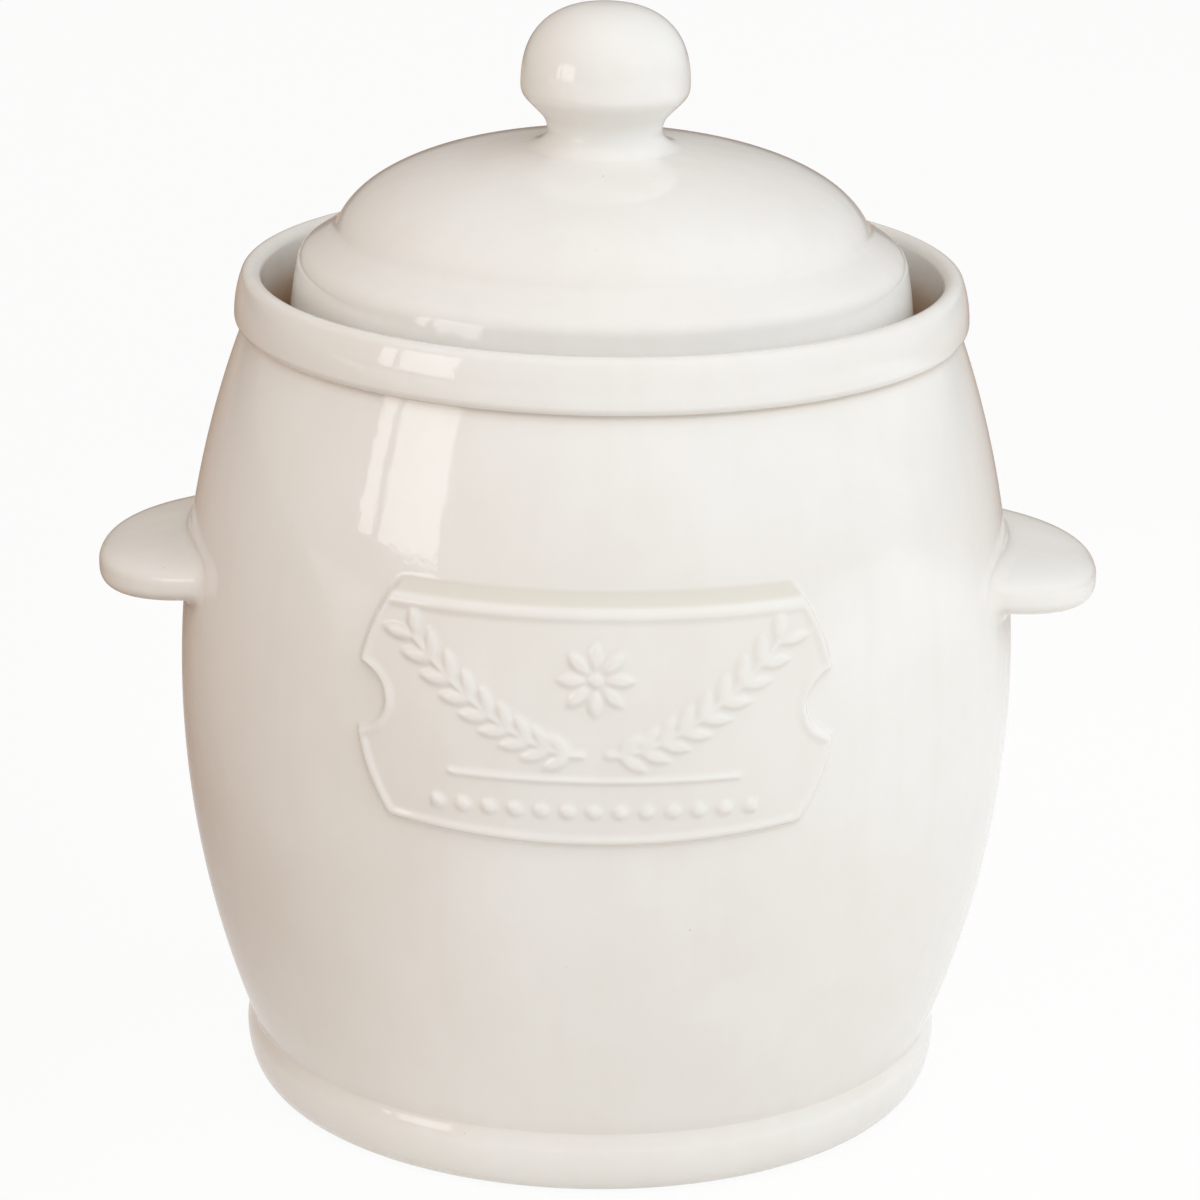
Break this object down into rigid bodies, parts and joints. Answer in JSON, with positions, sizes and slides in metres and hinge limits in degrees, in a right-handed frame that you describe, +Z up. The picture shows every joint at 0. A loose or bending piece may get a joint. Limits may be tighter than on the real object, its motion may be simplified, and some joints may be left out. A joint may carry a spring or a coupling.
{
  "type": "barrel fermentation crock",
  "caption": "Bellied glazed stoneware crock with lug handles, a water-seal channel round its mouth, a domed bell lid with a ball knob, and loose half-round pressing weights inside.",
  "frame": {"origin": "centre of the foot, on the surface that the crock stands on", "axes": "+Z up along the crock's axis; the plaque faces -Y; the handles point along +X and -X"},
  "size_m": [0.2502, 0.212, 0.2766],
  "materials": {
    "cream_glaze": "clear gloss glaze over a cream body, with faint specks",
    "bare_clay": "unglazed, matt"
  },
  "bodies": {
    "crock": {"barrel_wall": "cream_glaze", "foot_base": "cream_glaze", "rim_band": "cream_glaze", "water_channel": "cream_glaze", "left_handle": "cream_glaze", "right_handle": "cream_glaze", "label_plaque": "cream_glaze"},
    "lid": {"lid_bell": "cream_glaze", "lid_knob": "cream_glaze"},
    "left_weight": {"left_weight": "bare_clay"},
    "right_weight": {"right_weight": "bare_clay"}
  },
  "joints": [
    {"name": "lid_lift", "type": "slide", "parent": "crock", "child": "lid", "axis": [0, 0, 1], "range_m": [0, 0.15]},
    {"name": "left_weight_lift", "type": "slide", "parent": "crock", "child": "left_weight", "axis": [0, 0, 1], "range_m": [0, 0.14]},
    {"name": "right_weight_lift", "type": "slide", "parent": "crock", "child": "right_weight", "axis": [0, 0, 1], "range_m": [0, 0.14]}
  ]
}
